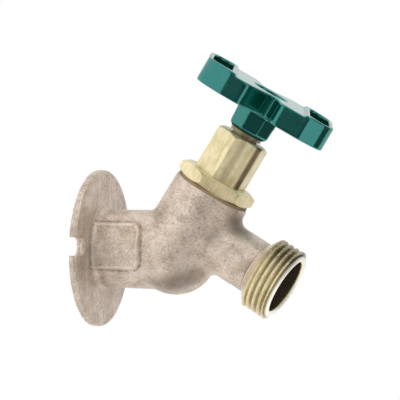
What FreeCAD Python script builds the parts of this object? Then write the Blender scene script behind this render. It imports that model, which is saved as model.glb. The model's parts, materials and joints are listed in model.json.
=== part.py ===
import FreeCAD
import Part
import math
import os

from FreeCAD import Placement, Rotation, Vector

# Anti-siphon wall sillcock. Millimetres, +Z up. The origin is the centre of the flange's back
# face, on the inlet axis; +X points away from the wall, and Y = 0 is the plane of symmetry.
# Heights along the bonnet axis start where that axis crosses the inlet axis, and lengths along
# the outlet start at the bonnet axis.

# Lay-out of the three axes
bonnet_x = 30.5
bonnet_tilt = 30.0
outlet_rise = 9.8

# Wall flange with its two screw slots
flange_radius = 27.8
flange_thickness = 2.8
flange_edge_round = 0.8
slot_width = 6.4
slot_centre_radius = 23.3

# Cast body, outside
inlet_radius_wall = 13.75
inlet_radius_globe = 14.1
globe_radius = 14.55
globe_height = -1.35
barrel_wall = 2.9
barrel_top = 24.15
neck_radius = 9.65
outlet_reach = 40.85
cast_fillet = 3.4
flange_fillet = 2.2
plaque_start = 3.3
plaque_length = 17.4
plaque_height = 16.0
plaque_rise = 0.75
plaque_corner = 2.6
plaque_relief = 0.6

# Inlet, half inch female pipe thread
inlet_bore_radius = 9.2
inlet_thread_length = 14.0
inlet_thread_pitch = 1.814
inlet_thread_depth = 1.1
inlet_way_radius = 8.7

# Outlet, three quarter inch garden hose thread
hose_thread_radius = 13.49
hose_thread_pitch = 2.209
hose_thread_depth = 1.25
hose_thread_length = 8.35
hose_last_groove = 1.4
hose_lead_radius = 12.35
hose_lead_length = 1.3
hose_flare_length = 2.9
outlet_bore_radius = 7.6
mouth_radius = 10.0
mouth_depth = 7.5
mouth_chamfer = 0.7

# Share of a thread's pitch that its groove takes up at the mouth and at the root
groove_mouth = 0.8
groove_root = 0.2

# Water way round the seat
chamber_radius = 9.6
chamber_floor_drop = 1.2
chamber_wall = 2.4
lower_chamber_radius = 11.5
seat_bore_radius = 5.6
seat_ring_radius = 6.8
seat_flange_radius = 7.4
seat_height = 2.0
seat_web = 3.2
socket_radius = 11.1
socket_depth = 6.55
socket_chamfer = 0.5

# Bonnet and its gasket
gasket_thickness = 0.8
gasket_inset = 0.5
bonnet_hex_flats = 25.4
bonnet_hex_height = 4.75
bonnet_hex_turn = -6.0
bonnet_hex_chamfer = 1.1
bonnet_skirt_length = 7.0
bonnet_skirt_bore = 8.6
bonnet_thread_length = 6.0
bonnet_neck_radius = 7.4

# Packing nut and what it squeezes
nut_hex_flats = 17.46
nut_turn = 2.6
nut_bore = 6.95
nut_top_wall = 2.45
nut_chamfer = 1.0
packing_washer_thickness = 1.2
packing_height = 4.0
gland_thickness = 2.0

# Stem
stem_lead = 2.54
stem_turns = 2.0
stem_thread_radius = 5.45
stem_shaft_radius = 4.7
stem_collar_radius = 5.9
stem_collar_clearance = 0.85
stem_collar_height = 1.05
stem_square = 6.6
stem_square_length = 11.0
stem_square_round = 4.36
stem_flange_radius = 6.5
stem_flange_height = 1.2
stem_neck_radius = 3.6
stem_spigot_radius = 3.0
stem_spigot_length = 3.05
air_bore_radius = 1.5
air_port_radius = 0.6
vent_port_radius = 0.4

# Washer set on the foot of the stem
washer_radius = 7.8
washer_thickness = 3.8
holder_cup_wall = 0.9
holder_cup_depth = 2.3
holder_floor = 3.0
holder_boss_radius = 5.0
holder_boss_height = 3.5
clip_thickness = 0.8
clip_depth = 0.5
clip_gap = 2.2
washer_screw_radius = 2.0
washer_screw_head = 3.7
washer_screw_crown = 3.1
washer_screw_head_height = 1.7
washer_screw_reach = 2.4
screw_slot_width = 0.9
screw_slot_depth = 0.8

# Float of the vacuum breaker
float_radius = 8.1
float_height = 2.5
float_seal_height = 1.0
float_seal_radius = 6.3
float_travel = 1.4
float_bore_clearance = 0.35

# Handle
handle_half_length = 24.8
handle_half_width = 19.8
handle_height = 8.95
handle_middle_drop = 0.9
handle_taper_length = 9.5
handle_shoulder_round = 1.8
handle_end_half_width = 15.6
handle_end_corner = 6.4
handle_turn = 18.4
notch_slope_start = 8.3
notch_slope_round = 5.0
notch_root_side = 2.6
notch_root_height = 8.4
notch_root_round = 1.8
notch_steep_end = 4.6
notch_steep_round = 2.6
lip_width = 1.7
pocket_length = 7.5
pocket_depth = 3.0
pocket_corner = 2.5
hub_height = 8.4
hub_flats = 14.5
hub_draft = 0.45
hub_chamfer = 1.1
screw_recess_radius = 6.4
screw_recess_depth = 5.6
handle_screw_radius = 1.9
handle_screw_head = 4.3
handle_screw_crown = 3.0
handle_screw_head_height = 2.3
handle_screw_length = 8.0
lock_washer_radius = 5.6
lock_washer_thickness = 0.9
lock_washer_gap = 1.0

# Fits
running_gap = 0.05
slip_gap = 0.1
thread_gap = 0.05
seat_gap = 0.03
travel_spare = 0.4
thread_overrun = 1.5
thread_relief = 0.3
shaft_clearance = 0.2
cut_spare = 1.0
same_place = 0.01

# The barrel's wall stands round the socket, and the gasket lies on its rim
barrel_top_radius = socket_radius + barrel_wall
gasket_radius = barrel_top_radius - gasket_inset

# Heights on the bonnet axis, from the seat upwards
stem_travel = stem_lead * stem_turns
chamber_floor = seat_height - chamber_floor_drop
seat_underside = seat_height - seat_web
socket_floor = barrel_top - socket_depth
hex_bottom = barrel_top + gasket_thickness
hex_top = hex_bottom + bonnet_hex_height
skirt_bottom = hex_bottom - bonnet_skirt_length
washer_bottom = seat_height + seat_gap
washer_top = washer_bottom + washer_thickness
holder_bottom = washer_top - holder_cup_depth
holder_top = washer_top + holder_floor
boss_top = holder_top + holder_boss_height
spigot_bottom = boss_top - stem_spigot_length
float_bottom = boss_top + slip_gap
float_top = float_bottom + float_height
seal_top = float_top + float_seal_height
stem_flange_bottom = seal_top + float_travel + seat_gap
stem_flange_top = stem_flange_bottom + stem_flange_height
skirt_ceiling = stem_flange_top + stem_travel + travel_spare
stem_thread_top = skirt_ceiling + bonnet_thread_length
bonnet_top = stem_thread_top + stem_travel + thread_overrun
packing_washer_bottom = bonnet_top + seat_gap
packing_bottom = packing_washer_bottom + packing_washer_thickness
gland_bottom = packing_bottom + packing_height
gland_top = gland_bottom + gland_thickness
nut_ceiling = gland_top + seat_gap
nut_top = nut_ceiling + nut_top_wall
collar_bottom = nut_top + stem_collar_clearance
collar_top = collar_bottom + stem_collar_height
square_top = collar_top + stem_square_length
hub_bottom = collar_top + seat_gap
handle_bottom = hub_bottom + hub_height
handle_top = handle_bottom + handle_height
handle_shoulder = handle_half_length - handle_taper_length
pocket_start = handle_half_length - lip_width - pocket_length
recess_floor = handle_top - screw_recess_depth
lock_washer_bottom = recess_floor + seat_gap
lock_washer_top = lock_washer_bottom + lock_washer_thickness

# Lengths on the outlet axis
mouth = outlet_reach
thread_end = mouth - hose_lead_length
thread_start = thread_end - hose_thread_length
flare_start = thread_start - hose_flare_length

up = Vector(0, 0, 1)
origin = Vector(0, 0, 0)
bonnet_place = Placement(Vector(bonnet_x, 0, 0), Rotation(Vector(0, 1, 0), bonnet_tilt))
inlet_place = Placement(origin, Rotation(Vector(0, 1, 0), 90))
outlet_root = bonnet_place.multVec(Vector(0, 0, outlet_rise))
outlet_place = Placement(outlet_root, Rotation(Vector(0, 1, 0), 90 + bonnet_tilt))


def rod(radius, bottom, top):
    return Part.makeCylinder(radius, top - bottom, Vector(0, 0, bottom), up)


def taper(radius_bottom, radius_top, bottom, top):
    return Part.makeCone(radius_bottom, radius_top, top - bottom, Vector(0, 0, bottom), up)


def ring(outer, inner, bottom, top):
    return rod(outer, bottom, top).cut(rod(inner, bottom, top))


def bar(length, width, bottom, top, angle=0.0):
    """A box that starts on the Z axis and runs outwards at an angle, centred on its width."""
    shape = Part.makeBox(length, width, top - bottom, Vector(0, -width / 2, bottom))
    shape.rotate(origin, up, angle)
    return shape


def placed(shape, place):
    moved = shape.copy()
    moved.Placement = place.multiply(moved.Placement)
    return moved


def turned(points):
    """A solid of revolution about the Z axis from (radius, height) corners."""
    corners = [Vector(radius, 0, height) for radius, height in points]
    outline = Part.makePolygon(corners + corners[:1])
    return Part.Face(outline).revolve(origin, up, 360)


def polygon(sides, flats, turn, height):
    corner_radius = flats / 2 / math.cos(math.pi / sides)
    corners = []
    for i in range(sides):
        angle = math.radians(turn) + math.pi * (2 * i + 1) / sides
        corners.append(Vector(corner_radius * math.cos(angle), corner_radius * math.sin(angle), height))
    return Part.makePolygon(corners + corners[:1])


def prism(sides, flats, turn, bottom, top):
    """A regular prism with one face square to the angle turn."""
    return Part.Face(polygon(sides, flats, turn, bottom)).extrude(Vector(0, 0, top - bottom))


def nut_blank(flats, turn, bottom, top, chamfer_bottom, chamfer_top):
    """A hexagon bar whose corners are turned off at thirty degrees, as on a bar nut."""
    corner_radius = flats / math.sqrt(3)
    slope = math.tan(math.radians(30))
    beyond = 1.0
    envelope = turned([
        (0, bottom),
        (corner_radius - chamfer_bottom / slope, bottom),
        (corner_radius + beyond, bottom + chamfer_bottom + beyond * slope),
        (corner_radius + beyond, top - chamfer_top - beyond * slope),
        (corner_radius - chamfer_top / slope, top),
        (0, top)])
    return prism(6, flats, turn, bottom, top).common(envelope)


def thread_grooves(radius, depth, pitch, first, count, inward):
    """V grooves side by side that stand for a thread, cut towards the axis or away from it."""
    mouth_half = groove_mouth * pitch / 2
    root_half = groove_root * pitch / 2
    sign = -1 if inward else 1
    grooves = []
    for i in range(count):
        middle = first + i * pitch
        grooves.append(turned([
            (radius - sign * cut_spare, middle - mouth_half), (radius, middle - mouth_half),
            (radius + sign * depth, middle - root_half), (radius + sign * depth, middle + root_half),
            (radius, middle + mouth_half), (radius - sign * cut_spare, middle + mouth_half)]))
    return grooves


def curve_edges(shape, kind):
    return [edge for edge in shape.Edges if edge.Curve.TypeId == kind]


def circle_edges(shape, radius, centre):
    found = []
    for edge in curve_edges(shape, "Part::GeomCircle"):
        near = edge.Curve.Center.distanceToPoint(centre) < same_place
        if near and abs(edge.Curve.Radius - radius) < same_place:
            found.append(edge)
    return found


def globe_pot():
    """The cast barrel under the bonnet with its round bottom, turned about the bonnet axis."""
    centre = Vector(0, 0, globe_height)
    rise = barrel_top - globe_height
    lean = math.atan2(rise, barrel_top_radius)
    lean -= math.acos(globe_radius / math.hypot(rise, barrel_top_radius))

    def on_globe(angle):
        return centre + Vector(math.cos(angle), 0, math.sin(angle)) * globe_radius

    bottom = on_globe(-math.pi / 2)
    shoulder = on_globe(lean)
    rim = Vector(barrel_top_radius, 0, barrel_top)
    hub = Vector(0, 0, barrel_top)
    outline = Part.Wire([
        Part.Arc(bottom, on_globe(-math.pi / 4), shoulder).toShape(),
        Part.LineSegment(shoulder, rim).toShape(),
        Part.LineSegment(rim, hub).toShape(),
        Part.LineSegment(hub, bottom).toShape()])
    return Part.Face(outline).revolve(origin, up, 360)


def body_outside():
    flange = rod(flange_radius, 0, flange_thickness)
    flange = flange.makeFillet(flange_edge_round, circle_edges(
        flange, flange_radius, Vector(0, 0, flange_thickness)))
    inlet = taper(inlet_radius_wall, inlet_radius_globe, 0, bonnet_x)
    stub = placed(flange.fuse(inlet), inlet_place)
    pot = placed(globe_pot(), bonnet_place)
    neck = placed(rod(neck_radius, 0, thread_start), outlet_place)
    cast = stub.fuse([pot, neck]).removeSplitter()
    cast = cast.makeFillet(cast_fillet, curve_edges(cast, "Part::GeomBSplineCurve"))
    inlet_slope = (inlet_radius_globe - inlet_radius_wall) / bonnet_x
    foot_radius = inlet_radius_wall + inlet_slope * flange_thickness
    foot = circle_edges(cast, foot_radius, Vector(flange_thickness, 0, 0))
    return cast.makeFillet(flange_fillet, foot)


def plaque():
    """The raised bare field on the near side of the inlet."""
    field_radius = inlet_radius_globe + plaque_relief
    start = plaque_start
    field = Part.makeBox(
        plaque_length, field_radius, plaque_height,
        Vector(start, -field_radius, plaque_rise - plaque_height / 2))
    far_corners = [
        edge for edge in curve_edges(field, "Part::GeomLine")
        if edge.BoundBox.XMin > start and abs(edge.BoundBox.YLength - field_radius) < same_place]
    field = field.makeFillet(plaque_corner, far_corners)
    skin = placed(rod(field_radius, start, start + plaque_length), inlet_place)
    return field.common(skin)


def hose_end():
    """The flared end of the neck with the hose thread, a groove to each turn."""
    core = turned([
        (0, flare_start), (neck_radius, flare_start), (hose_thread_radius, thread_start),
        (0, thread_start)])
    lead = turned([
        (0, thread_end), (hose_lead_radius, thread_end), (hose_lead_radius, mouth - mouth_chamfer),
        (hose_lead_radius - mouth_chamfer, mouth), (0, mouth)])
    count = int(hose_thread_length / hose_thread_pitch)
    first = thread_end - hose_last_groove - (count - 1) * hose_thread_pitch
    thread = rod(hose_thread_radius, thread_start, thread_end).cut(thread_grooves(
        hose_thread_radius, hose_thread_depth, hose_thread_pitch, first, count, True))
    return thread.fuse([core, lead])


def water_way():
    """Everything that is bored, cored or tapped out of the casting."""
    thread_bottom = inlet_thread_depth + inlet_thread_length
    wall_side = placed(turned([
        (0, 0), (inlet_bore_radius + inlet_thread_depth, 0), (inlet_bore_radius, inlet_thread_depth),
        (inlet_bore_radius, thread_bottom), (inlet_way_radius, thread_bottom + cut_spare),
        (inlet_way_radius, bonnet_x), (0, bonnet_x)]), inlet_place)
    lower = placed(Part.makeSphere(lower_chamber_radius, Vector(0, 0, globe_height)), bonnet_place)
    partition = placed(rod(chamber_radius + chamber_wall, seat_underside, barrel_top), bonnet_place)
    inlet_side = wall_side.fuse(lower).cut(partition)
    above = turned([
        (0, seat_underside - cut_spare), (seat_ring_radius, seat_underside - cut_spare),
        (seat_ring_radius, chamber_floor), (chamber_radius, chamber_floor),
        (chamber_radius, socket_floor),
        (socket_radius, socket_floor), (socket_radius, barrel_top - socket_chamfer),
        (socket_radius + socket_chamfer, barrel_top), (0, barrel_top)])
    outlet = turned([
        (0, 0), (outlet_bore_radius, 0), (outlet_bore_radius, mouth - mouth_depth),
        (mouth_radius, mouth - mouth_depth), (mouth_radius, mouth - mouth_chamfer),
        (mouth_radius + mouth_chamfer, mouth), (0, mouth)])
    return [inlet_side, placed(above, bonnet_place), placed(outlet, outlet_place)]


def screw_slots():
    """Two notches, open to the rim, for the screws that hold the flange to the wall."""
    slots = []
    for side in (-1, 1):
        depth = flange_thickness + 2 * cut_spare
        shape = Part.makeCylinder(
            slot_width / 2, depth,
            Vector(-cut_spare, side * slot_centre_radius, 0), Vector(1, 0, 0))
        reach = flange_radius - slot_centre_radius + slot_width
        low = min(side * slot_centre_radius, side * (slot_centre_radius + reach))
        run_out = Part.makeBox(depth, reach, slot_width, Vector(-cut_spare, low, -slot_width / 2))
        slots.append(shape.fuse(run_out))
    return slots


def valve_body():
    cast = body_outside().fuse([plaque(), placed(hose_end(), outlet_place)])
    turns = int(inlet_thread_length / inlet_thread_pitch)
    inlet_thread = thread_grooves(
        inlet_bore_radius, inlet_thread_depth, inlet_thread_pitch,
        inlet_thread_depth + inlet_thread_pitch, turns - 1, False)
    return cast.cut(water_way() + screw_slots() + [placed(groove, inlet_place) for groove in inlet_thread])


def seat_ring():
    """The brass seat that screws down into the partition."""
    return turned([
        (seat_bore_radius, seat_underside), (seat_ring_radius - thread_gap, seat_underside),
        (seat_ring_radius - thread_gap, chamber_floor), (seat_flange_radius, chamber_floor),
        (seat_flange_radius, seat_height), (seat_bore_radius, seat_height)])


def bonnet_gasket():
    return ring(gasket_radius, socket_radius + seat_gap, barrel_top, hex_bottom)


def bonnet():
    blank = nut_blank(
        bonnet_hex_flats, bonnet_hex_turn, hex_bottom, hex_top,
        bonnet_hex_chamfer, bonnet_hex_chamfer)
    skirt = rod(socket_radius - thread_gap, skirt_bottom, hex_bottom)
    neck = rod(bonnet_neck_radius, hex_top, bonnet_top)
    bore = turned([
        (0, skirt_bottom), (bonnet_skirt_bore, skirt_bottom), (bonnet_skirt_bore, skirt_ceiling),
        (stem_thread_radius + thread_gap, skirt_ceiling),
        (stem_thread_radius + thread_gap, stem_thread_top),
        (stem_thread_radius + thread_relief, stem_thread_top),
        (stem_thread_radius + thread_relief, bonnet_top), (0, bonnet_top)])
    return blank.fuse([skirt, neck]).cut(bore)


def packing_nut():
    blank = nut_blank(nut_hex_flats, nut_turn, hex_top, nut_top, 0, nut_chamfer)
    bore = turned([
        (0, hex_top), (bonnet_neck_radius + thread_gap, hex_top),
        (bonnet_neck_radius + thread_gap, bonnet_top), (nut_bore, bonnet_top),
        (nut_bore, nut_ceiling), (stem_shaft_radius + shaft_clearance, nut_ceiling),
        (stem_shaft_radius + shaft_clearance, nut_top), (0, nut_top)])
    return blank.cut(bore)


def packing_washer():
    return ring(nut_bore - slip_gap, stem_shaft_radius + slip_gap, packing_washer_bottom, packing_bottom)


def stem_packing():
    return ring(nut_bore - running_gap, stem_shaft_radius + running_gap, packing_bottom, gland_bottom)


def gland_ring():
    return ring(nut_bore - slip_gap, stem_shaft_radius + slip_gap, gland_bottom, gland_top)


def clip_groove(inner, outer):
    middle = (spigot_bottom + boss_top) / 2
    half = clip_thickness / 2 + seat_gap
    return ring(outer, inner, middle - half, middle + half)


def cross_hole(radius, reach, height):
    return Part.makeCylinder(radius, 2 * reach, Vector(-reach, 0, height), Vector(1, 0, 0))


def stem():
    root = stem_spigot_radius - clip_depth - running_gap
    shaft = turned([
        (0, spigot_bottom), (stem_spigot_radius, spigot_bottom), (stem_spigot_radius, boss_top),
        (stem_neck_radius, boss_top + slip_gap / 2), (stem_neck_radius, stem_flange_bottom),
        (stem_flange_radius, stem_flange_bottom), (stem_flange_radius, stem_flange_top),
        (stem_thread_radius, stem_flange_top), (stem_thread_radius, stem_thread_top),
        (stem_shaft_radius, stem_thread_top), (stem_shaft_radius, collar_bottom),
        (stem_collar_radius, collar_bottom), (stem_collar_radius, collar_top), (0, collar_top)])
    tang = prism(4, stem_square, handle_turn, collar_top, square_top)
    tang = tang.common(rod(stem_square_round, collar_top, square_top))
    tapped_depth = lock_washer_top - handle_screw_length - cut_spare
    tapped = rod(handle_screw_radius + thread_gap, tapped_depth, square_top)
    vent_height = nut_top + stem_collar_clearance / 2
    air = rod(air_bore_radius, spigot_bottom, vent_height + vent_port_radius)
    ports = [
        cross_hole(air_port_radius, stem_neck_radius + cut_spare, (seal_top + stem_flange_bottom) / 2),
        cross_hole(vent_port_radius, stem_shaft_radius + cut_spare, vent_height)]
    notch = clip_groove(root, stem_spigot_radius + cut_spare)
    return shaft.fuse(tang).cut([tapped, air, notch] + ports)


def disc_holder():
    cup_inner = washer_radius + slip_gap
    cup_outer = cup_inner + holder_cup_wall
    socket = stem_spigot_radius + slip_gap
    socket_floor_height = spigot_bottom - slip_gap
    shell = turned([
        (cup_inner, holder_bottom), (cup_outer, holder_bottom), (cup_outer, holder_top),
        (holder_boss_radius, holder_top), (holder_boss_radius, boss_top), (socket, boss_top),
        (socket, socket_floor_height), (washer_screw_radius + thread_gap, socket_floor_height),
        (washer_screw_radius + thread_gap, washer_top), (cup_inner, washer_top)])
    return shell.cut(clip_groove(socket - cut_spare, stem_spigot_radius + clip_depth + running_gap))


def retaining_clip():
    middle = (spigot_bottom + boss_top) / 2
    bottom = middle - clip_thickness / 2
    top = middle + clip_thickness / 2
    hoop = ring(stem_spigot_radius + clip_depth, stem_spigot_radius - clip_depth, bottom, top)
    return hoop.cut(bar(stem_spigot_radius * 2, clip_gap, bottom, top))


def seat_washer():
    return ring(washer_radius, washer_screw_radius + slip_gap, washer_bottom, washer_top)


def washer_screw():
    head_bottom = washer_bottom - washer_screw_head_height
    shank = rod(washer_screw_radius, washer_bottom, washer_top + washer_screw_reach)
    head = taper(washer_screw_crown, washer_screw_head, head_bottom, washer_bottom - seat_gap)
    neck = rod(washer_screw_radius, head_bottom + screw_slot_depth, washer_bottom)
    slot = Part.makeBox(
        washer_screw_head * 2, screw_slot_width, screw_slot_depth,
        Vector(-washer_screw_head, -screw_slot_width / 2, head_bottom))
    return head.fuse([neck, shank]).cut(slot)


def vacuum_float():
    bore = stem_neck_radius + float_bore_clearance
    lower = ring(float_radius, bore, float_bottom, float_top)
    bed = ring(float_seal_radius, bore, float_top - float_seal_height, float_top)
    return lower.cut(bed)


def float_seal():
    bore = stem_neck_radius + float_bore_clearance
    return ring(float_seal_radius - slip_gap, bore, float_top - float_seal_height, seal_top)


def round_upright(shape, corners, radius):
    """Rounds the edges of a prism that stand at the given corners."""
    found = []
    for edge in curve_edges(shape, "Part::GeomLine"):
        upright = abs(edge.tangentAt(edge.FirstParameter).dot(up)) > 1 - same_place
        foot = Vector(edge.CenterOfMass.x, edge.CenterOfMass.y, 0)
        if upright and min(foot.distanceToPoint(corner) for corner in corners) < same_place:
            found.append(edge)
    return shape.makeFillet(radius, found)


def both_sides(x, y):
    """A corner and the one that it becomes when the handle makes half a turn."""
    return [Vector(x, y, 0), Vector(-x, -y, 0)]


def handle_plate():
    """An oblong with tapered ends and a slanted finger notch in each long side."""
    left, left_far = both_sides(-handle_shoulder, -handle_half_width)
    slope, slope_far = both_sides(-notch_slope_start, -handle_half_width)
    root, root_far = both_sides(notch_root_side, -notch_root_height)
    steep, steep_far = both_sides(notch_steep_end, -handle_half_width)
    right, right_far = both_sides(handle_shoulder, -handle_half_width)
    end, end_far = both_sides(handle_half_length, -handle_end_half_width)
    next_end, next_end_far = both_sides(handle_half_length, handle_end_half_width)
    outline = Part.makePolygon([
        left, slope, root, steep, right, end, next_end,
        left_far, slope_far, root_far, steep_far, right_far, end_far, next_end_far, left])
    plate = Part.Face(outline).extrude(Vector(0, 0, handle_height))
    plate = round_upright(plate, [left, left_far, right, right_far], handle_shoulder_round)
    plate = round_upright(plate, [end, end_far, next_end, next_end_far], handle_end_corner)
    plate = round_upright(plate, [slope, slope_far], notch_slope_round)
    plate = round_upright(plate, [root, root_far], notch_root_round)
    plate = round_upright(plate, [steep, steep_far], notch_steep_round)
    plate.translate(Vector(0, 0, handle_bottom))
    return plate


def end_pocket():
    """The hollow in one end, which leaves a lip round it."""
    taper_slope = (handle_half_width - handle_end_half_width) / (handle_half_length - handle_shoulder)
    lip_across = lip_width * math.hypot(1, taper_slope)

    def corner(x, side):
        half_width = handle_half_width - (x - handle_shoulder) * taper_slope - lip_across
        return Vector(x, side * half_width, 0)

    inner = [corner(pocket_start, -1), corner(pocket_start, 1)]
    outer = [corner(handle_half_length - lip_width, 1), corner(handle_half_length - lip_width, -1)]
    outline = Part.makePolygon(inner + outer + inner[:1])
    pocket = Part.Face(outline).extrude(Vector(0, 0, pocket_depth + cut_spare))
    pocket = round_upright(pocket, inner, pocket_corner)
    pocket = round_upright(pocket, outer, handle_end_corner - lip_width)
    pocket.translate(Vector(0, 0, handle_top - pocket_depth))
    return pocket


def handle():
    foot = Part.makeLoft([
        polygon(8, hub_flats - 2 * hub_chamfer, 0, hub_bottom),
        polygon(8, hub_flats, 0, hub_bottom + hub_chamfer)], True, True)
    boss = Part.makeLoft([
        polygon(8, hub_flats, 0, hub_bottom + hub_chamfer),
        polygon(8, hub_flats + 2 * hub_draft, 0, handle_bottom)], True, True)
    wheel = handle_plate().fuse([foot, boss]).removeSplitter()
    lip_start = pocket_start - lip_width
    middle = Part.makeBox(
        lip_start * 2, handle_half_width * 2, handle_middle_drop,
        Vector(-lip_start, -handle_half_width, handle_top - handle_middle_drop))
    recess = rod(screw_recess_radius, recess_floor, handle_top)
    broach = prism(4, stem_square + 2 * slip_gap, 0, hub_bottom, handle_top)
    near_pocket = end_pocket()
    far_pocket = near_pocket.copy()
    far_pocket.rotate(origin, up, 180)
    wheel = wheel.cut([near_pocket, far_pocket, middle, recess, broach])
    wheel.rotate(origin, up, handle_turn)
    return wheel


def lock_washer():
    hoop = ring(lock_washer_radius, handle_screw_radius + slip_gap, lock_washer_bottom, lock_washer_top)
    return hoop.cut(bar(lock_washer_radius * 2, lock_washer_gap, lock_washer_bottom, lock_washer_top, 45))


def handle_screw():
    head_bottom = lock_washer_top + seat_gap
    head_top = head_bottom + handle_screw_head_height
    shank = rod(handle_screw_radius, lock_washer_top - handle_screw_length, head_bottom)
    crown = turned([
        (0, head_bottom), (handle_screw_head, head_bottom),
        (handle_screw_head, head_bottom + handle_screw_head_height / 2),
        (handle_screw_crown, head_top), (0, head_top)])
    slot = Part.makeBox(
        handle_screw_head * 2, screw_slot_width, screw_slot_depth,
        Vector(-handle_screw_head, -screw_slot_width / 2, head_top - screw_slot_depth))
    cross = slot.copy()
    cross.rotate(origin, up, 90)
    return shank.fuse(crown).cut([slot, cross])


on_bonnet_axis = {
    "seat_ring": seat_ring,
    "bonnet_gasket": bonnet_gasket,
    "bonnet": bonnet,
    "packing_nut": packing_nut,
    "packing_washer": packing_washer,
    "stem_packing": stem_packing,
    "gland_ring": gland_ring,
    "stem": stem,
    "disc_holder": disc_holder,
    "retaining_clip": retaining_clip,
    "seat_washer": seat_washer,
    "washer_screw": washer_screw,
    "vacuum_float": vacuum_float,
    "float_seal": float_seal,
    "handle": handle,
    "lock_washer": lock_washer,
    "handle_screw": handle_screw,
}

os.makedirs("parts", exist_ok=True)
pieces = {"valve_body": valve_body()}
for name, make in on_bonnet_axis.items():
    pieces[name] = placed(make(), bonnet_place)
for name, shape in pieces.items():
    shape.exportStep(f"parts/{name}.step")
    print(name, len(shape.Solids), shape.isValid(), round(shape.Volume, 1))
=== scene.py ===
import bpy
import bmesh
import json
import math
import numpy as np
from mathutils import Matrix, Vector, noise


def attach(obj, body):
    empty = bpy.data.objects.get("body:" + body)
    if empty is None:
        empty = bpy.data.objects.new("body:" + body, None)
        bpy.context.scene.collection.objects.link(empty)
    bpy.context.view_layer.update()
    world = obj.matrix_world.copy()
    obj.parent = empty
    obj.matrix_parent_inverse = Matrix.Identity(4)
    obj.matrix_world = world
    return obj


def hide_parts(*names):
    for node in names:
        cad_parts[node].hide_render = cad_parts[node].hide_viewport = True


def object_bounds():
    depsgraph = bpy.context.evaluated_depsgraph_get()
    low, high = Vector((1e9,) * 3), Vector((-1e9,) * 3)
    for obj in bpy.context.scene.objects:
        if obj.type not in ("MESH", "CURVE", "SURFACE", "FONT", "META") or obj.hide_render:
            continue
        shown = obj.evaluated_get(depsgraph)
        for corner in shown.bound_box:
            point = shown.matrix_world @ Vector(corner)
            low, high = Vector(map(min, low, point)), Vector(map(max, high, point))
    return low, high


# A wall sillcock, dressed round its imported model. Metres throughout.
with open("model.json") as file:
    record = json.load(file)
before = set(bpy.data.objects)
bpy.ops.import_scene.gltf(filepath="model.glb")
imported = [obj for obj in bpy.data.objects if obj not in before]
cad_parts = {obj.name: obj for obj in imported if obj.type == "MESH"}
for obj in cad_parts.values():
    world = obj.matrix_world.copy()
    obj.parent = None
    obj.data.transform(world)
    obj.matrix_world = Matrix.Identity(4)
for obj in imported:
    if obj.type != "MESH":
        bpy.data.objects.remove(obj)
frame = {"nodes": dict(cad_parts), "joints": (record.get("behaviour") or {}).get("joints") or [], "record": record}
cadBox = [list(corner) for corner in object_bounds()]
print("frame loaded with", len(frame["nodes"]), "nodes")

mm = 0.001
joints = {joint["name"]: joint for joint in frame["joints"]}
mounts = {mount["name"]: mount for mount in frame["record"]["mounts"]}
stage = bpy.context.scene.collection


def placeOn(origin, axis, forward):
    # Where a local frame lies: its Z along axis, its X as near to forward as it can be
    z = axis.normalized()
    x = (forward - z * forward.dot(z)).normalized()
    turn = Matrix((x, z.cross(x), z)).transposed().to_4x4()
    return Matrix.Translation(origin) @ turn


# The bonnet axis comes from the handle's joint, the outlet axis from the hose thread's mount
handleTurn = joints["handle_turn"]
hoseThread = mounts["hose_thread"]
bonnetAxis = Vector(handleTurn["axis"]).normalized()
outletAxis = Vector(hoseThread["axis"]).normalized()
outletMiddle = Vector(hoseThread["pos_m"])
bonnetPlace = placeOn(Vector(handleTurn["pos_m"]), bonnetAxis, outletAxis)
outletRise = (bonnetPlace.inverted() @ outletMiddle).z
outletPlace = placeOn(bonnetPlace @ Vector((0, 0, outletRise)), outletAxis, -bonnetAxis)

# Along the outlet axis: the hose thread, then a plain lead up to the mouth
threadLength = hoseThread["dims"]["length_mm"] * mm
threadMiddle = (outletPlace.inverted() @ outletMiddle).z
threadStart = threadMiddle - threadLength / 2
threadEnd = threadMiddle + threadLength / 2
leadLength = 1.3 * mm
mouthEnd = threadEnd + leadLength


# Shader maths as plain expressions: a Wire wraps a socket, and Nodes.node makes the nodes

class Wire:
    def __init__(self, nodes, socket):
        self.nodes = nodes
        self.socket = socket

    def maths(self, operation, first, second=0.0):
        return self.nodes.node("ShaderNodeMath", {"operation": operation}, {0: first, 1: second})

    def __add__(self, other):
        return self.maths("ADD", self, other)

    def __radd__(self, other):
        return self.maths("ADD", other, self)

    def __sub__(self, other):
        return self.maths("SUBTRACT", self, other)

    def __rsub__(self, other):
        return self.maths("SUBTRACT", other, self)

    def __mul__(self, other):
        return self.maths("MULTIPLY", self, other)

    def __rmul__(self, other):
        return self.maths("MULTIPLY", other, self)

    def __abs__(self):
        return self.maths("ABSOLUTE", self)

    def larger(self, other):
        return self.maths("MAXIMUM", self, other)


class Nodes:
    def __init__(self, owner, outputKind):
        owner.use_nodes = True
        self.tree = owner.node_tree
        self.tree.nodes.clear()
        self.output = self.tree.nodes.new(outputKind)

    def node(self, kind, settings=None, inputs=None, output=0):
        made = self.tree.nodes.new(kind)
        for name, value in (settings or {}).items():
            if name == "stops":
                self.setStops(made.color_ramp.elements, value)
            else:
                setattr(made, name, value)
        for name, value in (inputs or {}).items():
            self.feed(made.inputs[name], value)
        return Wire(self, made.outputs[output])

    def setStops(self, elements, stops):
        while len(elements) > 1:
            elements.remove(elements[-1])
        elements[0].position, elements[0].color = stops[0]
        for position, colour in stops[1:]:
            elements.new(position).color = colour

    def feed(self, socket, value):
        if isinstance(value, Wire):
            self.tree.links.new(value.socket, socket)
        else:
            socket.default_value = value


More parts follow.
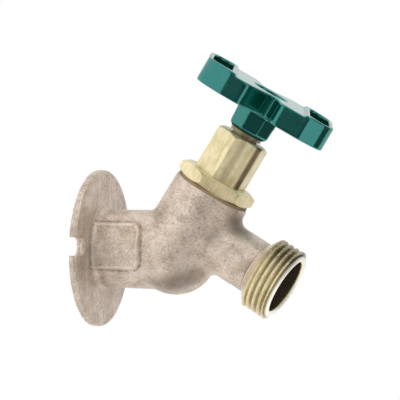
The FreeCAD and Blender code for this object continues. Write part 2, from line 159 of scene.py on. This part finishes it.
class Finish(Nodes):
    def __init__(self, name, **fixed):
        self.material = bpy.data.materials.new(name)
        super().__init__(self.material, "ShaderNodeOutputMaterial")
        self.shader = self.tree.nodes.new("ShaderNodeBsdfPrincipled")
        self.tree.links.new(self.shader.outputs[0], self.output.inputs["Surface"])
        for socket, value in fixed.items():
            self.set(socket.replace("_", " "), value)

    def set(self, name, value):
        self.feed(self.shader.inputs[name], value)

    def place(self, local=Matrix.Identity(4), stretch=(1, 1, 1)):
        # Object coordinates seen from a local frame, then stretched
        here = self.node("ShaderNodeTexCoord", output="Object")
        origin = tuple(local.to_translation())
        turn = tuple(local.to_euler())
        moved = self.node("ShaderNodeMapping", {"vector_type": "TEXTURE"},
                          {"Vector": here, "Location": origin, "Rotation": turn})
        return self.vector("MULTIPLY", moved, stretch)

    def vector(self, operation, first, second=(0, 0, 0), output=0):
        return self.node("ShaderNodeVectorMath", {"operation": operation}, {0: first, 1: second}, output)

    def coordinate(self, where, axis):
        return self.node("ShaderNodeSeparateXYZ", None, {"Vector": where}, axis)

    def attribute(self, name):
        return self.node("ShaderNodeAttribute", {"attribute_name": name}, output="Fac")

    def grain(self, where, size, detail, rough):
        # Noise whose lumps are about size metres across, from 0 to 1
        return self.node("ShaderNodeTexNoise", {"noise_dimensions": "3D"},
                         {"Vector": where, "Scale": 1 / size, "Detail": detail, "Roughness": rough})

    def step(self, value, low, high):
        # A smooth rise from 0 at low to 1 at high
        return self.node("ShaderNodeMapRange", {"interpolation_type": "SMOOTHSTEP"},
                         {"Value": value, "From Min": low, "From Max": high, "To Min": 0.0, "To Max": 1.0})

    def spot(self, where, centre, reach, core):
        # 1 at a point and over its core, fading to 0 at its reach
        away = self.vector("DISTANCE", where, centre, "Value")
        return 1 - self.step(away, core * reach, reach)

    def blend(self, share, first, second):
        return self.node("ShaderNodeMix", {"data_type": "RGBA"}, {0: share, 6: first, 7: second}, output=2)

    def ramp(self, value, levels, colours):
        return self.node("ShaderNodeValToRGB", {"stops": list(zip(levels, colours))}, {"Fac": value})

    def bump(self, height, strength, distance):
        self.set("Normal", self.node("ShaderNodeBump", None,
                 {"Height": height, "Strength": strength, "Distance": distance}))


def rgb(red, green, blue):
    # A colour written as it looks, turned into the linear values that shaders use
    def linear(value):
        value = value / 255
        return value / 12.92 if value <= 0.04045 else ((value + 0.055) / 1.055) ** 2.4
    return (linear(red), linear(green), linear(blue), 1.0)


# Finishes. A grain is its size, detail and roughness. Each pair under "over" is where a step starts
# and where it is complete

castBronze = {
    "metallic": 0.66,
    "colours": [rgb(146, 129, 114), rgb(201, 185, 170), rgb(238, 224, 210)],
    "levels": (0.32, 0.50, 0.70),
    # The colour of painted shade, which the pits take too
    "shadeAndPitColour": rgb(84, 70, 58),
    "fine": (0.6 * mm, 4.0, 0.65),
    "fineShare": 0.62,
    "patch": (5 * mm, 3.0, 0.55),
    "stains": {"colour": rgb(166, 138, 104), "grain": (14 * mm, 2.0, 0.6), "over": (0.55, 0.78),
               "amount": 0.5},
    # Brushed lines on the flange's face, which fade out past it
    "streaks": {"grain": (0.7 * mm, 3.0, 0.6), "stretch": (1, 1, 0.07), "over": (0.48, 0.66),
                "amount": 0.5, "fade": (3.4 * mm, 4.4 * mm)},
    # Painted highlight on the raised field's bead, and painted shade along its edge
    "bead": {"over": (0.2, 1.0), "amount": 0.4},
    "line": {"over": (0.1, 1.2), "amount": 0.35, "grainy": 0.4},
    # Painted shade in the corners, by the depth of each hollow
    "hollowShade": {"over": (0.12, 0.95), "amount": 0.85},
    "pits": {"grain": (1.2 * mm, 2.0, 0.5), "over": (0.60, 0.72), "amount": 0.4},
    # Painted shade where the casting is darkest: centre and reach in millimetres, and how strong
    "shadeSpots": [((35, -11, -13), 9, 0.62), ((41, -8, -11), 8, 0.45), ((28, -10, -15), 9, 0.45),
              ((53, -3, 8), 8, 0.6), ((46, -7, 5), 6, 0.3)],
    "shadeSpotCore": 0.25,
    "shadeSpotAmount": 0.4,
    "shadeSpotGrainy": 1.2,
    "roughness": 0.46,
    "roughnessSwing": 0.25,
    "bumpStrength": 0.35,
    "bumpDepth": 0.25 * mm,
}


def makeCastBronze():
    spec = castBronze
    dark, light = spec["colours"][0], spec["colours"][-1]
    made = Finish("castBronze", Metallic=spec["metallic"])
    where = made.place()
    fine = made.grain(where, *spec["fine"])
    patch = made.grain(where, *spec["patch"])
    tone = fine * spec["fineShare"] + patch * (1 - spec["fineShare"])
    base = made.ramp(tone, spec["levels"], spec["colours"])

    stains = spec["stains"]
    stained = made.step(made.grain(where, *stains["grain"]), *stains["over"])
    base = made.blend(stained * stains["amount"], base, stains["colour"])

    streaks = spec["streaks"]
    brushed = made.grain(made.place(stretch=streaks["stretch"]), *streaks["grain"])
    streaked = made.step(brushed, *streaks["over"])
    face = 1 - made.step(made.coordinate(where, "X"), *streaks["fade"])
    base = made.blend(streaked * face * streaks["amount"], base, dark)

    # The mesh carries the raised field's line: painted shade along the field's edge, and below 0 a painted
    # highlight on its bead. It also carries the depth of each hollow, for painted shade in the corners
    line = made.attribute("line")
    base = made.blend(made.step(line * -1, *spec["bead"]["over"]) * spec["bead"]["amount"], base, light)
    grainy = spec["line"]["amount"] + fine * spec["line"]["grainy"]
    base = made.blend(made.step(line, *spec["line"]["over"]) * grainy, base, spec["shadeAndPitColour"])
    hollow = made.step(made.attribute("hollow"), *spec["hollowShade"]["over"])
    base = made.blend(hollow * spec["hollowShade"]["amount"], base, spec["shadeAndPitColour"])

    pits = spec["pits"]
    pitted = made.step(made.grain(where, *pits["grain"]), *pits["over"])
    base = made.blend(pitted * pits["amount"], base, spec["shadeAndPitColour"])
    # Painted shade at the darkest places of the casting
    grainy = spec["shadeSpotAmount"] + fine * spec["shadeSpotGrainy"]
    for centre, reach, strength in spec["shadeSpots"]:
        near = made.spot(where, Vector(centre) * mm, reach * mm, spec["shadeSpotCore"])
        base = made.blend(near * grainy * strength, base, spec["shadeAndPitColour"])

    made.set("Base Color", base)
    made.set("Roughness", spec["roughness"] + (fine - 0.5) * spec["roughnessSwing"])
    made.bump(fine, spec["bumpStrength"], spec["bumpDepth"])
    return made.material


threadShading = {
    # A painted shade colour for the grooves, the upper side and the bore, and a painted highlight colour for the
    # lip
    "shadeAndPitColour": rgb(56, 46, 34),
    "crest": rgb(252, 248, 236),
    "cast": rgb(205, 188, 168),
    "upperSide": (-2 * mm, -11 * mm),
    "machined": (-1.2 * mm, 0.6 * mm),  # from the thread's start
    "lip": (-0.9 * mm, -0.2 * mm),  # from the mouth's end, as the next one
    "behindLip": (-1.2 * mm, -0.8 * mm),
    "bore": (10.0 * mm, 10.1 * mm),
    "outside": (11.3 * mm, 11.7 * mm),
    "groove": (12.3 * mm, 13.3 * mm),
    "grooveAmount": 0.45,
    "grooveUpper": 0.45,
    "streaks": (0.38, 0.58),
    "streakAmount": 0.9,
    "lipUpper": 0.3,
    "boreAmount": 0.8,
    "boreStreaky": 0.3,
}


def paintThreadShading(made, base, streak):
    # Painted shade in the grooves, most of all on the upper side, painted shade in the bore and a painted
    # highlight on the lip round it
    spec = threadShading
    local = made.place(outletPlace)
    radius = made.vector("LENGTH", made.vector("MULTIPLY", local, (1, 1, 0)), output="Value")
    along = made.coordinate(local, "Z")

    def past(start, over):
        return made.step(along, start + over[0], start + over[1])

    above = made.step(made.coordinate(local, "X"), *spec["upperSide"])
    machined = past(threadStart, spec["machined"])
    base = made.blend(1 - machined, base, spec["cast"])
    outside = machined * made.step(radius, *spec["outside"])
    groove = 1 - made.step(radius, *spec["groove"])
    # Painted shade in the grooves, stronger on the upper side
    paintedShade = spec["grooveAmount"] + above * spec["grooveUpper"]
    base = made.blend(outside * groove * paintedShade, base, spec["shadeAndPitColour"])
    # Painted shade in streaks on the upper side
    band = made.step(streak, *spec["streaks"])
    base = made.blend(outside * above * band * spec["streakAmount"], base, spec["shadeAndPitColour"])
    # Painted highlight on the lip, weaker on the upper side
    lip = past(mouthEnd, spec["lip"])
    base = made.blend(lip * (1 - above * spec["lipUpper"]), base, spec["crest"])
    # Painted shade deep in the bore
    inside = machined * (1 - made.step(radius, *spec["bore"]))
    deep = 1 - past(mouthEnd, spec["behindLip"])
    paintedShade = spec["boreAmount"] + streak * spec["boreStreaky"]
    return made.blend(inside * deep * paintedShade, base, spec["shadeAndPitColour"])


nutReflection = {
    "reflectionBrown": rgb(100, 82, 52),
    "turn": 20,
    "nearSide": (0, 2 * mm),
    # Painted brownish reflection in streaks down the nut: how far across it from the axis, half their width and
    # their strength
    "runs": [(6.2 * mm, 1.7 * mm, 1.0), (0.3 * mm, 2.0 * mm, 0.36)],
    "core": 0.2,
    "amount": 0.4,
}


def paintNutReflection(made, base, streak):
    # Painted reflection: brownish streaks down the nut's faces, on its near side only
    spec = nutReflection
    local = made.place(bonnetPlace)
    turn = math.radians(spec["turn"])
    across = made.vector("DOT_PRODUCT", local, (math.cos(turn), math.sin(turn), 0), "Value")
    ahead = made.vector("DOT_PRODUCT", local, (math.sin(turn), -math.cos(turn), 0), "Value")
    near = made.step(ahead, *spec["nearSide"])
    for offset, halfWidth, strength in spec["runs"]:
        run = 1 - made.step(abs(across - offset), spec["core"] * halfWidth, halfWidth)
        base = made.blend(run * near * (spec["amount"] + streak) * strength, base, spec["reflectionBrown"])
    return base


stemShade = {"shadeColour": rgb(56, 46, 34), "amount": 0.45, "streaky": 0.5}


def paintStemShade(made, base, streak):
    # Painted shade on the stem where it leaves the nut
    return made.blend(stemShade["amount"] + streak * stemShade["streaky"], base, stemShade["shadeColour"])


machinedBrass = {
    "metallic": 0.55,
    "colours": [rgb(186, 168, 124), rgb(220, 206, 164), rgb(238, 228, 194)],
    "levels": (0.32, 0.52, 0.72),
    "streak": (1.0 * mm, 3.0, 0.6),
    "streakShare": 0.5,
    "patch": (5 * mm, 2.0, 0.5),
    "tarnish": {"colour": rgb(140, 118, 78), "over": (0.60, 0.80), "amount": 0.4},
    "roughness": 0.34,
    "roughnessSwing": 0.22,
    "bumpStrength": 0.25,
    "bumpDepth": 0.06 * mm,
}
drawn = (1.0, 1.0, 0.12)  # streaks along the axis
turned = (1.0, 1.0, 8.0)  # rings round the axis
# The third entry, where there is one, paints the finish's shading: painted shade, reflection and highlight
brassFinishes = {
    "drawnBrass": (bonnetPlace, drawn, None),
    "turnedBrass": (bonnetPlace, turned, None),
    "threadBrass": (outletPlace, turned, paintThreadShading),
    "stemBrass": (bonnetPlace, turned, paintStemShade),
    "nutBrass": (bonnetPlace, drawn, paintNutReflection),
}


def makeMachinedBrass(name, local, stretch, paintShading):
    spec = machinedBrass
    made = Finish(name, Metallic=spec["metallic"])
    streak = made.grain(made.place(local, stretch), *spec["streak"])
    patch = made.grain(made.place(local), *spec["patch"])
    tone = streak * spec["streakShare"] + patch * (1 - spec["streakShare"])
    base = made.ramp(tone, spec["levels"], spec["colours"])
    tarnish = spec["tarnish"]
    base = made.blend(made.step(patch, *tarnish["over"]) * tarnish["amount"], base, tarnish["colour"])
    if paintShading:
        base = paintShading(made, base, streak)
    made.set("Base Color", base)
    made.set("Roughness", spec["roughness"] + (streak - 0.5) * spec["roughnessSwing"])
    made.bump(streak, spec["bumpStrength"], spec["bumpDepth"])
    return made.material


greenEnamel = {
    "colours": [rgb(0, 32, 26), rgb(0, 42, 34)],
    "patch": (6 * mm, 3.0, 0.5),
    "over": (0.3, 0.7),
    "gloss": (0.24, 1.0, 0.93, 1.0),
    "index": 2.0,
    "roughness": 0.07,
    "roughnessSwing": 0.10,
    "peel": (1.6 * mm, 1.0, 0.4),
    "bumpStrength": 0.12,
    "bumpDepth": 0.10 * mm,
}


def makeGreenEnamel():
    spec = greenEnamel
    made = Finish("greenEnamel", IOR=spec["index"], Specular_IOR_Level=1.0, Specular_Tint=spec["gloss"])
    where = made.place(bonnetPlace)
    patch = made.grain(where, *spec["patch"])
    peel = made.grain(where, *spec["peel"])
    made.set("Base Color", made.blend(made.step(patch, *spec["over"]), *spec["colours"]))
    made.set("Roughness", spec["roughness"] + patch * spec["roughnessSwing"])
    made.bump(peel, spec["bumpStrength"], spec["bumpDepth"])
    return made.material


# The inner pieces' finishes: two colours, the size of the grain, roughness and metallic
plainFinishes = {
    "plated": (rgb(190, 190, 186), rgb(214, 214, 210), 1.2 * mm, 0.28, 1.0),
    "rubber": (rgb(24, 24, 24), rgb(38, 38, 38), 0.8 * mm, 0.62, 0.0),
    "fibre": (rgb(104, 84, 64), rgb(136, 112, 86), 0.6 * mm, 0.8, 0.0),
    "graphite": (rgb(34, 34, 36), rgb(56, 56, 58), 0.7 * mm, 0.5, 0.0),
    "acetal": (rgb(226, 226, 220), rgb(238, 238, 232), 2.0 * mm, 0.4, 0.0),
}
plainSurface = {
    "detail": 3.0,
    "grainRoughness": 0.6,
    "roughnessSwing": 0.2,
    "bumpStrength": 0.3,
    "bumpDepth": 0.05 * mm,
}


def makePlain(name, first, second, size, roughness, metallic):
    spec = plainSurface
    made = Finish(name, Metallic=metallic)
    grain = made.grain(made.place(), size, spec["detail"], spec["grainRoughness"])
    made.set("Base Color", made.blend(grain, first, second))
    made.set("Roughness", roughness + (grain - 0.5) * spec["roughnessSwing"])
    made.bump(grain, spec["bumpStrength"], spec["bumpDepth"])
    return made.material


finishes = {"castBronze": makeCastBronze(), "greenEnamel": makeGreenEnamel()}
finishes.update({name: makeMachinedBrass(name, *spec) for name, spec in brassFinishes.items()})
finishes.update({name: makePlain(name, *spec) for name, spec in plainFinishes.items()})
print("finishes made:", len(finishes))


# Shapes

weld = 0.001 * mm


def mergedCopy(nodeName):
    shape = bmesh.new()
    shape.from_mesh(frame["nodes"][nodeName].data)
    bmesh.ops.remove_doubles(shape, verts=shape.verts, dist=3 * weld)
    return shape


def toObject(shape, name):
    data = bpy.data.meshes.new(name)
    shape.to_mesh(data)
    shape.free()
    piece = bpy.data.objects.new(name, data)
    stage.objects.link(piece)
    return piece


def softened(piece, rounds):
    # The piece as it looks with its modifiers and some rounds of smoothing
    soften = piece.modifiers.new("soften", "SMOOTH")
    soften.factor = 0.5
    soften.iterations = rounds
    return piece.evaluated_get(bpy.context.evaluated_depsgraph_get())


def skinned(shape, voxel, rounds, place=Matrix.Identity(4)):
    # A rounded skin over a shape: voxels in the shape's own frame, then smoothing
    bmesh.ops.transform(shape, matrix=place.inverted(), verts=shape.verts)
    rough = toObject(shape, "rough")
    skin = rough.modifiers.new("skin", "REMESH")
    skin.mode = "VOXEL"
    skin.voxel_size = voxel
    mesh = bpy.data.meshes.new_from_object(softened(rough, rounds))
    bpy.data.objects.remove(rough)
    result = bmesh.new()
    result.from_mesh(mesh)
    bmesh.ops.transform(result, matrix=place, verts=result.verts)
    bmesh.ops.recalc_face_normals(result, faces=result.faces)
    bpy.data.meshes.remove(mesh)
    return result


def shadeByAngle(shape, sharpFrom=180):
    # Smooth shading, but across edges sharper than this many degrees
    limit = math.radians(sharpFrom)
    for face in shape.faces:
        face.smooth = True
    for edge in shape.edges:
        if edge.is_manifold and edge.calc_face_angle() > limit:
            edge.smooth = False


def finishPiece(piece, body, finish, nodes=()):
    piece.data.materials.append(finishes[finish])
    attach(piece, body)
    if nodes:
        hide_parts(*nodes)
    print("piece", piece.name, len(piece.data.polygons), "faces")


# The bare raised field on the near side of the inlet, along and up it
raisedField = {
    "middle": (12.0 * mm, 0.75 * mm),
    "half": (8.7 * mm, 8.0 * mm),
    "corners": (0.5 * mm, 3.4 * mm),
    "nearSide": -6 * mm,
    "radius": 15.3 * mm,
    "beadHeight": 0.34 * mm,
    "beadWidth": 0.60 * mm,
    # Where the line of painted shade lies outside the field's edge, its width and its strength
    "shadeAt": 0.55 * mm,
    "shadeWidth": 0.60 * mm,
    "shadeStrength": 0.8,
}


def fieldEdge(point):
    # How far a point lies outside the field's outline
    spec = raisedField
    if point.y > spec["nearSide"] or math.hypot(point.y, point.z) > spec["radius"]:
        return 1.0  # a metre off: nothing of the field reaches there
    corner = spec["corners"][point.x > spec["middle"][0]]
    across = abs(point.x - spec["middle"][0]) - spec["half"][0] + corner
    up = abs(point.z - spec["middle"][1]) - spec["half"][1] + corner
    return math.hypot(max(across, 0), max(up, 0)) + min(max(across, up), 0) - corner


def ridge(distance, width):
    # 1 on a line, fading out over its width
    return math.exp(-(distance / width) ** 2)


bodyCasting = {
    "voxel": 0.46 * mm,
    "rounds": 3,
    "cutBehindThread": 3.2 * mm,
    "sandDepth": 0.035 * mm,
    "sandSize": 1.1 * mm,
    "waveDepth": 0.06 * mm,
    "waveSize": 6 * mm,
    "hollowRounds": 40,
    "hollowDepth": 0.55 * mm,
}


def cutAhead(shape, point, normal):
    # Take away what lies ahead of a plane and close the cut
    everything = shape.verts[:] + shape.edges[:] + shape.faces[:]
    cut = bmesh.ops.bisect_plane(
        shape, geom=everything, plane_co=point, plane_no=normal, dist=weld, clear_outer=True)
    rim = [item for item in cut["geom_cut"] if isinstance(item, bmesh.types.BMEdge)]
    bmesh.ops.triangle_fill(shape, edges=rim, use_beauty=True, normal=normal)


def markHollows(piece, rounds, depth):
    # How far each point lies under its smoothed surroundings, for painted shade in the corners
    probe = piece.copy()
    probe.data = piece.data.copy()
    stage.objects.link(probe)
    smooth = softened(probe, rounds).data
    count = len(piece.data.vertices)
    before, after, normal = (np.empty(count * 3, np.float32) for _ in range(3))
    piece.data.vertices.foreach_get("co", before)
    piece.data.vertices.foreach_get("normal", normal)
    smooth.vertices.foreach_get("co", after)
    inward = ((after - before).reshape(-1, 3) * normal.reshape(-1, 3)).sum(1)
    layer = piece.data.attributes.new("hollow", "FLOAT", "POINT")
    layer.data.foreach_set("value", np.clip(inward / depth, 0, 1))
    bpy.data.objects.remove(probe)


def castBody():
    # The whole casting but the hose end, with a sandy skin and the raised field
    spec = bodyCasting
    field = raisedField
    shape = mergedCopy("valve_body")
    back = threadLength / 2 + spec["cutBehindThread"]
    cutAhead(shape, outletMiddle - outletAxis * back, outletAxis)
    shape = skinned(shape, spec["voxel"], spec["rounds"])
    shape.normal_update()
    line = shape.verts.layers.float.new("line")
    for vert in shape.verts:
        sand = noise.noise(vert.co / spec["sandSize"])
        wave = noise.noise(vert.co / spec["waveSize"])
        edge = fieldEdge(vert.co)
        bead = ridge(edge + field["beadWidth"], field["beadWidth"])
        shade = ridge(edge - field["shadeAt"], field["shadeWidth"])
        # Painted shade outside the field's edge, less the painted highlight on the bead
        vert[line] = shade * (field["shadeStrength"] + sand) - bead
        lift = sand * spec["sandDepth"] + wave * spec["waveDepth"] + bead * field["beadHeight"]
        vert.co += vert.normal * lift
        vert.co.x = max(vert.co.x, cadBox[0][0])  # nothing goes into the wall
    shadeByAngle(shape)
    piece = toObject(shape, "cast_body")
    markHollows(piece, spec["hollowRounds"], spec["hollowDepth"])
    finishPiece(piece, "body", "castBronze", ["valve_body"])


hoseEndShape = {
    "crest": hoseThread["dims"]["r_mm"] * mm,
    "pitch": 25.4 / 11.5 * mm,  # 11.5 turns to the inch
    "depth": 1.15 * mm,
    "narrowing": 1.3,  # above 1 the grooves get narrower than the crests
    "phase": 0.5,
    "runOut": 1.0 * mm,
    "lead": 12.35 * mm,
    "mouth": 10.0 * mm,
    "mouthDepth": 7.5 * mm,
    "bore": 7.6 * mm,
    "neck": 9.65 * mm,
    "flare": 2.9 * mm,
    "chamfer": 0.7 * mm,
    "around": 160,
    "perTurn": 14,
    "sharpFrom": 30,
}


def hoseEnd():
    # The flare, crests, lead, mouth and bore spun as one skin, then the thread pressed into the crests
    spec = hoseEndShape
    cut = threadStart - bodyCasting["cutBehindThread"]
    shoulder = mouthEnd - spec["mouthDepth"]
    chamferStart = mouthEnd - spec["chamfer"]
    steps = round(threadLength / spec["pitch"] * spec["perTurn"])
    outline = [(spec["neck"], cut), (spec["neck"], threadStart - spec["flare"])]
    outline += [(spec["crest"], threadStart + threadLength * i / steps) for i in range(steps + 1)]
    outline += [
        (spec["lead"], threadEnd), (spec["lead"], chamferStart), (spec["lead"] - spec["chamfer"], mouthEnd),
        (spec["mouth"] + spec["chamfer"], mouthEnd), (spec["mouth"], chamferStart),
        (spec["mouth"], shoulder), (spec["bore"], shoulder), (spec["bore"], cut)]
    shape = bmesh.new()
    profile = [shape.verts.new((radius, 0, height)) for radius, height in outline]
    edges = [shape.edges.new((profile[i - 1], profile[i])) for i in range(len(profile))]
    bmesh.ops.spin(
        shape, geom=profile + edges, cent=(0, 0, 0), axis=(0, 0, 1), angle=math.tau,
        steps=spec["around"], use_merge=True)
    bmesh.ops.remove_doubles(shape, verts=shape.verts, dist=weld)
    for vert in shape.verts:
        radius = math.hypot(vert.co.x, vert.co.y)
        if radius > spec["crest"] - 10 * weld:
            turns = (vert.co.z - threadStart) / spec["pitch"] - math.atan2(vert.co.y, vert.co.x) / math.tau
            groove = (0.5 + 0.5 * math.cos(math.tau * (turns - spec["phase"]))) ** spec["narrowing"]
            fade = min(vert.co.z - threadStart, threadEnd - vert.co.z) / spec["runOut"]
            vert.co.xy *= 1 - spec["depth"] * groove * max(min(fade, 1), 0) / radius
    bmesh.ops.transform(shape, matrix=outletPlace, verts=shape.verts)
    bmesh.ops.recalc_face_normals(shape, faces=shape.faces)
    shadeByAngle(shape, spec["sharpFrom"])
    finishPiece(toObject(shape, "hose_end"), "body", "threadBrass")


handleShape = {"voxel": 0.30 * mm, "rounds": 16}


def handleCasting():
    shape = skinned(mergedCopy("handle"), handleShape["voxel"], handleShape["rounds"], bonnetPlace)
    shadeByAngle(shape)
    piece = toObject(shape, "handle_casting")
    finishPiece(piece, "stem_and_handle", "greenEnamel", ["handle"])


# The two machined hexagons and the width of their broken edges
hexagons = {
    "bonnet": {"name": "bonnet_hex", "finish": "drawnBrass", "edge": 0.18 * mm},
    "packing_nut": {"name": "nut_hex", "finish": "nutBrass", "edge": 0.55 * mm},
}
brokenEdges = {"flatWithin": 1, "sharpFrom": 20, "segments": 4}


def hexagon(nodeName):
    spec = hexagons[nodeName]
    shape = mergedCopy(nodeName)
    bmesh.ops.dissolve_limit(
        shape, angle_limit=math.radians(brokenEdges["flatWithin"]), verts=shape.verts, edges=shape.edges,
        use_dissolve_boundaries=False)
    shadeByAngle(shape, brokenEdges["sharpFrom"])
    piece = toObject(shape, spec["name"])
    edge = piece.modifiers.new("edge", "BEVEL")
    edge.width = spec["edge"]
    edge.segments = brokenEdges["segments"]
    edge.limit_method = "ANGLE"
    edge.angle_limit = math.radians(brokenEdges["sharpFrom"])
    edge.harden_normals = False
    finishPiece(piece, "body", spec["finish"], [nodeName])


castBody()
hoseEnd()
handleCasting()
for nodeName in hexagons:
    hexagon(nodeName)

nodeFinishes = {
    "seat_ring": "turnedBrass",
    "bonnet_gasket": "fibre",
    "packing_washer": "turnedBrass",
    "stem_packing": "graphite",
    "gland_ring": "turnedBrass",
    "stem": "stemBrass",
    "disc_holder": "turnedBrass",
    "retaining_clip": "plated",
    "seat_washer": "rubber",
    "washer_screw": "plated",
    "vacuum_float": "acetal",
    "float_seal": "rubber",
    "lock_washer": "plated",
    "handle_screw": "plated",
}
for nodeName, finish in nodeFinishes.items():
    materials = frame["nodes"][nodeName].data.materials
    materials.clear()
    materials.append(finishes[finish])
print("inner pieces finished:", len(nodeFinishes))


# Camera at the photograph's angle, worked out from the object's outlines in it
photoView = {
    "azimuth": 18.146,
    "elevation": -1.840,
    "roll": 1.800,
    "distance": 819.46 * mm,
    "aim": Vector((38.104, 0, 17.864)) * mm,
    "focalPixels": 2329.92,
    "framePixels": 400,
    "sensorWidth": 36.0,
    "clipEnd": 20,
}


def makeCamera():
    spec = photoView
    turn = math.radians(spec["azimuth"])
    rise = math.radians(spec["elevation"])
    back = Vector((math.sin(turn) * math.cos(rise), -math.cos(turn) * math.cos(rise), math.sin(rise)))
    level = Vector((math.cos(turn), math.sin(turn), 0))
    upright = back.cross(level)
    roll = math.radians(spec["roll"])
    right = level * math.cos(roll) + upright * math.sin(roll)
    up = upright * math.cos(roll) - level * math.sin(roll)
    data = bpy.data.cameras.new("photoCamera")
    data.sensor_width = spec["sensorWidth"]
    data.lens = spec["focalPixels"] / spec["framePixels"] * spec["sensorWidth"]
    data.clip_end = spec["clipEnd"]
    camera = bpy.data.objects.new("photoCamera", data)
    stage.objects.link(camera)
    place = Matrix((right, up, back)).transposed().to_4x4()
    camera.matrix_world = Matrix.Translation(spec["aim"] + back * spec["distance"]) @ place
    bpy.context.scene.camera = camera
    return right, up, back


# Lamps that no surface reflects. Each stands to the camera's right, up and back by the shares in "from"
lamps = {
    "leftBox": {"from": (-1.0, 0.45, 0.45), "size": 0.5, "power": 3.0},
    "topBox": {"from": (0.1, 1.0, 0.35), "size": 0.6, "power": 4.0},
    "frontFill": {"from": (0.25, 0.1, 1.0), "size": 0.6, "power": 2.0},
}
lampDistance = 0.7


def makeLamps(viewRight, viewUp, viewBack):
    for name, spec in lamps.items():
        data = bpy.data.lights.new(name, "AREA")
        data.shape = "SQUARE"
        data.size = spec["size"]
        data.energy = spec["power"]
        lamp = bpy.data.objects.new(name, data)
        side, rise, ahead = spec["from"]
        way = (viewRight * side + viewUp * rise + viewBack * ahead).normalized()
        turn = way.to_track_quat("Z", "Y").to_matrix().to_4x4()
        lamp.matrix_world = Matrix.Translation(photoView["aim"] + way * lampDistance) @ turn
        lamp.visible_glossy = False
        stage.objects.link(lamp)


# Grey panels bent round the camera's side, which glossy surfaces show and the camera doesn't
greyPanels = {
    "radius": 0.6,
    "spans": {"near_panel": (-30, 33), "right_panel": (57, 104)},
    "steps": 12,
    "bottom": -0.60,
    "top": 0.50,
    "colour": rgb(110, 113, 113),
}


def makeGreyPanels():
    spec = greyPanels
    cloth = Finish("greyCloth", Roughness=1.0)
    cloth.set("Base Color", spec["colour"])
    for name, (first, last) in spec["spans"].items():
        shape = bmesh.new()
        foot = (0, -spec["radius"], spec["bottom"])
        head = (0, -spec["radius"], spec["top"])
        profile = [shape.verts.new(foot), shape.verts.new(head)]
        side = shape.edges.new(profile)
        start = Matrix.Rotation(math.radians(photoView["azimuth"] + first), 3, "Z")
        bmesh.ops.rotate(shape, verts=profile, cent=(0, 0, 0), matrix=start)
        bmesh.ops.spin(
            shape, geom=profile + [side], cent=(0, 0, 0), axis=(0, 0, 1),
            angle=math.radians(last - first), steps=spec["steps"], use_merge=False)
        bmesh.ops.translate(shape, verts=shape.verts, vec=photoView["aim"])
        panel = toObject(shape, name)
        panel.data.materials.append(cloth.material)
        panel.visible_camera = False
        panel.visible_shadow = False
        panel.visible_diffuse = False


studio = {"colour": (1, 1, 1, 1), "softLight": 0.6, "background": 1.0}


def makeWorld():
    # Soft light for the object, and white where the world itself is seen, reflected or seen through
    world = bpy.data.worlds.new("studio")
    bpy.context.scene.world = world
    made = Nodes(world, "ShaderNodeOutputWorld")

    def ray(kind):
        return made.node("ShaderNodeLightPath", output=kind)

    def glow(strength):
        return made.node("ShaderNodeBackground", None, {"Color": studio["colour"], "Strength": strength})

    seen = ray("Is Camera Ray").larger(ray("Is Glossy Ray")).larger(ray("Is Transmission Ray"))
    shades = {0: seen, 1: glow(studio["softLight"]), 2: glow(studio["background"])}
    made.feed(made.output.inputs["Surface"], made.node("ShaderNodeMixShader", None, shades))


paleFloor = {
    "radius": 1.2,
    "edges": 96,
    "height": -0.14,
    "colours": [rgb(238, 238, 236), rgb(242, 242, 240)],
    "grain": (0.05, 2.0, 0.5),
    "roughness": 0.9,
}


def makeFloor():
    spec = paleFloor
    shape = bmesh.new()
    bmesh.ops.create_circle(shape, cap_ends=True, segments=spec["edges"], radius=spec["radius"])
    bmesh.ops.translate(shape, vec=(0, 0, spec["height"]), verts=shape.verts)
    floor = toObject(shape, "floor")
    made = Finish("paleFloor", Roughness=spec["roughness"])
    made.set("Base Color", made.blend(made.grain(made.place(), *spec["grain"]), *spec["colours"]))
    floor.data.materials.append(made.material)
    floor.visible_glossy = False


makeLamps(*makeCamera())
makeGreyPanels()
makeWorld()
makeFloor()
bpy.context.scene.view_settings.view_transform = "Standard"
print("camera, lamps, panels, world and floor set")
